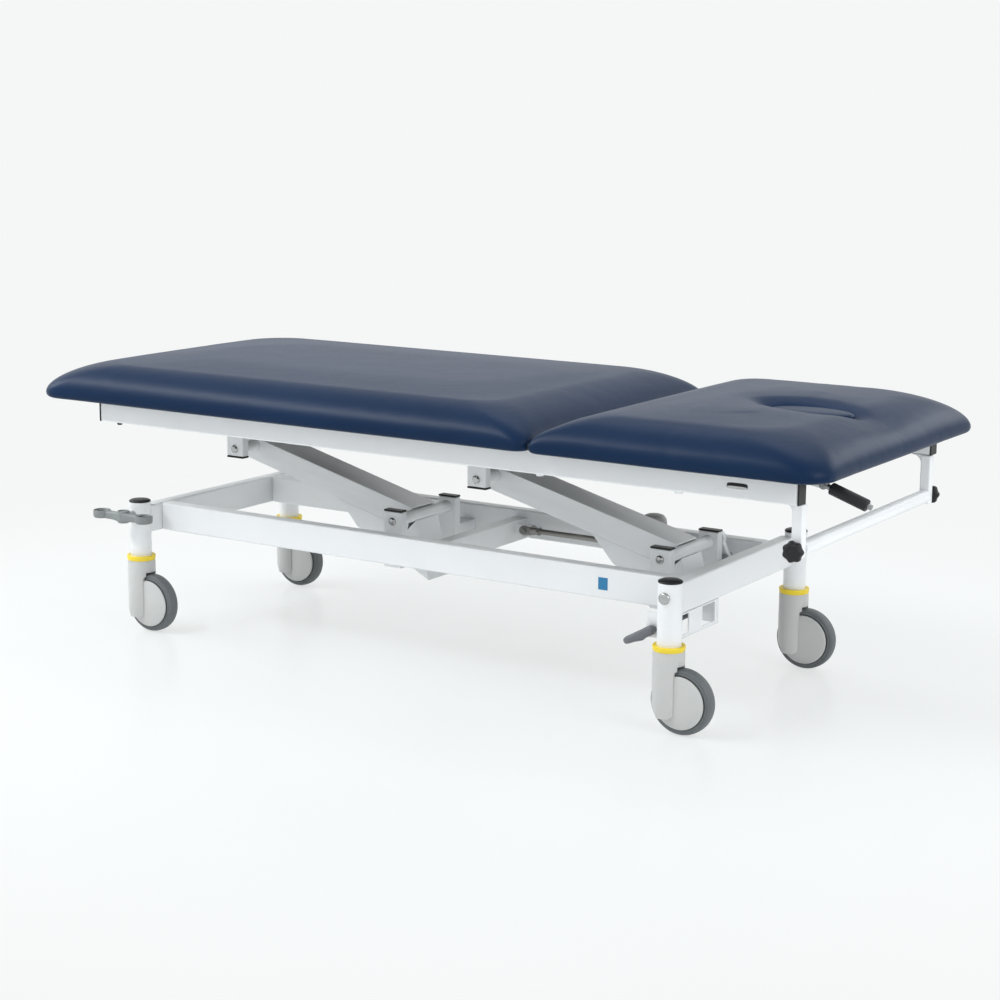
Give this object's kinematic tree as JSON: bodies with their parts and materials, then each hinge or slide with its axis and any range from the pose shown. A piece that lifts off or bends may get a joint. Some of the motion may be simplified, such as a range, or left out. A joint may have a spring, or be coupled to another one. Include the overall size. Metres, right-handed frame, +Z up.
{
  "type": "bariatric examination couch",
  "caption": "Wide two-section padded examination couch on a parallel-arm lift, with tilting head section, face hole plug, paper-roll bar and braked castors.",
  "frame": {"origin": "on the floor under the middle of the couch's overall box", "axes": "+X along the couch to the head end, +Y to the far side as pictured, +Z up"},
  "size_m": [1.8875, 0.75, 0.593],
  "materials": {
    "white_paint": "smooth white powder coat",
    "black_plastic": "moulded black plastic",
    "yellow_plastic": "bright yellow moulded ring",
    "bright_steel": "bright plated steel",
    "grey_plastic": "mid grey moulded plastic",
    "grey_metal": "grey painted tube",
    "navy_vinyl": "soft satin vinyl upholstery",
    "board": "plywood under a dark lining cloth",
    "castor_grey": "light grey moulded housing",
    "tyre": "dark grey soft tread",
    "hub_plastic": "grey moulded wheel centre"
  },
  "bodies": {
    "base": {"base_side_rails": "white_paint", "base_cross_rails": "white_paint", "base_mid_rail": "white_paint", "corner_posts": "white_paint", "corner_caps": "black_plastic", "castor_rings": "yellow_plastic", "lift_posts": "white_paint", "lift_post_caps": "black_plastic", "lift_post_ties": "white_paint", "base_pivot_bolts": "bright_steel", "pedal_bracket": "white_paint", "actuator_rod": "bright_steel"},
    "foot_arm": {"foot_arm_beam": "white_paint", "foot_arm_crank": "white_paint", "foot_arm_tubes": "white_paint"},
    "head_arm": {"head_arm_beam": "white_paint", "head_arm_crank": "white_paint", "head_arm_tubes": "white_paint", "lift_lever": "white_paint"},
    "actuator": {"actuator_tube": "grey_metal", "actuator_motor": "grey_plastic"},
    "top": {"top_side_rails": "white_paint", "top_cross_rails": "white_paint", "upper_brackets": "white_paint", "top_pivot_bolts": "bright_steel", "top_end_caps": "black_plastic", "foot_board": "board", "foot_pad": "navy_vinyl", "hinge_foot_leaf": "bright_steel", "strut_base_lug": "white_paint", "paper_posts": "white_paint", "paper_bar": "white_paint"},
    "head": {"head_frame": "white_paint", "strut_head_lug": "white_paint", "head_board": "board", "head_pad": "navy_vinyl", "hinge_head_leaf": "bright_steel"},
    "plug": {"breathing_plug": "navy_vinyl"},
    "strut_cylinder": {"strut_cylinder": "black_plastic"},
    "strut_rod": {"strut_rod": "bright_steel"},
    "release_lever": {"release_lever": "bright_steel", "lever_grip": "black_plastic"},
    "knob_near": {"knob_near": "black_plastic"},
    "knob_far": {"knob_far": "black_plastic"},
    "foot_brake": {"foot_brake_bar": "bright_steel", "foot_pedal": "grey_plastic"},
    "head_brake": {"head_brake_shaft": "bright_steel", "head_pedal": "grey_plastic"},
    "castor_foot_near": {"castor_hood_foot_near": "castor_grey"},
    "wheel_foot_near": {"castor_tyre_foot_near": "tyre", "castor_hub_foot_near": "hub_plastic"},
    "castor_foot_far": {"castor_hood_foot_far": "castor_grey"},
    "wheel_foot_far": {"castor_tyre_foot_far": "tyre", "castor_hub_foot_far": "hub_plastic"},
    "castor_head_near": {"castor_hood_head_near": "castor_grey"},
    "wheel_head_near": {"castor_tyre_head_near": "tyre", "castor_hub_head_near": "hub_plastic"},
    "castor_head_far": {"castor_hood_head_far": "castor_grey"},
    "wheel_head_far": {"castor_tyre_head_far": "tyre", "castor_hub_head_far": "hub_plastic"}
  },
  "joints": [
    {"name": "lift", "type": "hinge", "parent": "base", "child": "foot_arm", "pos_m": [-0.1804, 0, 0.28], "axis": [0, 1, 0], "range_deg": [-9, 58]},
    {"name": "head_arm_swing", "type": "hinge", "parent": "base", "child": "head_arm", "pos_m": [0.4489, 0, 0.28], "axis": [0, 1, 0], "range_deg": [-9, 58]},
    {"name": "top_level", "type": "hinge", "parent": "foot_arm", "child": "top", "pos_m": [-0.60178, 0, 0.39039], "axis": [0, 1, 0], "range_deg": [-58, 9]},
    {"name": "actuator_level", "type": "hinge", "parent": "head_arm", "child": "actuator", "pos_m": [0.46673, 0.135, 0.24087], "axis": [0, 1, 0], "range_deg": [-58, 9]},
    {"name": "head_tilt", "type": "hinge", "parent": "top", "child": "head", "pos_m": [0.313, 0, 0.53], "axis": [0, -1, 0], "range_deg": [0, 60]},
    {"name": "strut_swing", "type": "hinge", "parent": "top", "child": "strut_cylinder", "pos_m": [0.313, 0, 0.458], "axis": [0, -1, 0], "range_deg": [0, 56]},
    {"name": "strut_rod_swing", "type": "hinge", "parent": "head", "child": "strut_rod", "pos_m": [0.725, 0, 0.474], "axis": [0, -1, 0], "range_deg": [-5, 0]},
    {"name": "release", "type": "hinge", "parent": "head", "child": "release_lever", "pos_m": [0.852, -0.273, 0.495], "axis": [0, -1, 0], "range_deg": [0, 9], "stiffness_Nm_per_rad": 3, "springref_deg": -8.59},
    {"name": "plug_lift", "type": "slide", "parent": "head", "child": "plug", "axis": [0, 0, 1], "range_m": [0, 0.12]},
    {"name": "knob_near_turn", "type": "hinge", "parent": "top", "child": "knob_near", "pos_m": [0.819, -0.317, 0.381], "axis": [0, 1, 0], "continuous": true},
    {"name": "knob_far_turn", "type": "hinge", "parent": "top", "child": "knob_far", "pos_m": [0.819, 0.317, 0.381], "axis": [0, 1, 0], "continuous": true},
    {"name": "foot_brake_rock", "type": "hinge", "parent": "base", "child": "foot_brake", "pos_m": [-0.7473, -0.3, 0.258], "axis": [0, 1, 0], "range_deg": [-12, 12]},
    {"name": "head_brake_rock", "type": "hinge", "parent": "base", "child": "head_brake", "pos_m": [0.509, -0.253, 0.181], "axis": [0, 1, 0], "range_deg": [-8, 18]},
    {"name": "swivel_foot_near", "type": "hinge", "parent": "base", "child": "castor_foot_near", "pos_m": [-0.7473, -0.256, 0.15], "axis": [0, 0, 1], "continuous": true},
    {"name": "roll_foot_near", "type": "hinge", "parent": "castor_foot_near", "child": "wheel_foot_near", "pos_m": [-0.7163, -0.256, 0.0625], "axis": [0, 1, 0], "continuous": true},
    {"name": "swivel_foot_far", "type": "hinge", "parent": "base", "child": "castor_foot_far", "pos_m": [-0.7473, 0.256, 0.15], "axis": [0, 0, 1], "continuous": true},
    {"name": "roll_foot_far", "type": "hinge", "parent": "castor_foot_far", "child": "wheel_foot_far", "pos_m": [-0.7163, 0.256, 0.0625], "axis": [0, 1, 0], "continuous": true},
    {"name": "swivel_head_near", "type": "hinge", "parent": "base", "child": "castor_head_near", "pos_m": [0.5573, -0.27, 0.15], "axis": [0, 0, 1], "continuous": true},
    {"name": "roll_head_near", "type": "hinge", "parent": "castor_head_near", "child": "wheel_head_near", "pos_m": [0.5883, -0.27, 0.0625], "axis": [0, 1, 0], "continuous": true},
    {"name": "swivel_head_far", "type": "hinge", "parent": "base", "child": "castor_head_far", "pos_m": [0.5573, 0.27, 0.15], "axis": [0, 0, 1], "continuous": true},
    {"name": "roll_head_far", "type": "hinge", "parent": "castor_head_far", "child": "wheel_head_far", "pos_m": [0.5883, 0.27, 0.0625], "axis": [0, 1, 0], "continuous": true}
  ],
  "couplings": [
    {"joint": "head_arm_swing", "follows": "lift", "ratio": 1},
    {"joint": "top_level", "follows": "lift", "ratio": -1},
    {"joint": "actuator_level", "follows": "lift", "ratio": -1},
    {"joint": "strut_swing", "follows": "head_tilt", "ratio": 0.93},
    {"joint": "strut_rod_swing", "follows": "head_tilt", "ratio": -0.07}
  ]
}
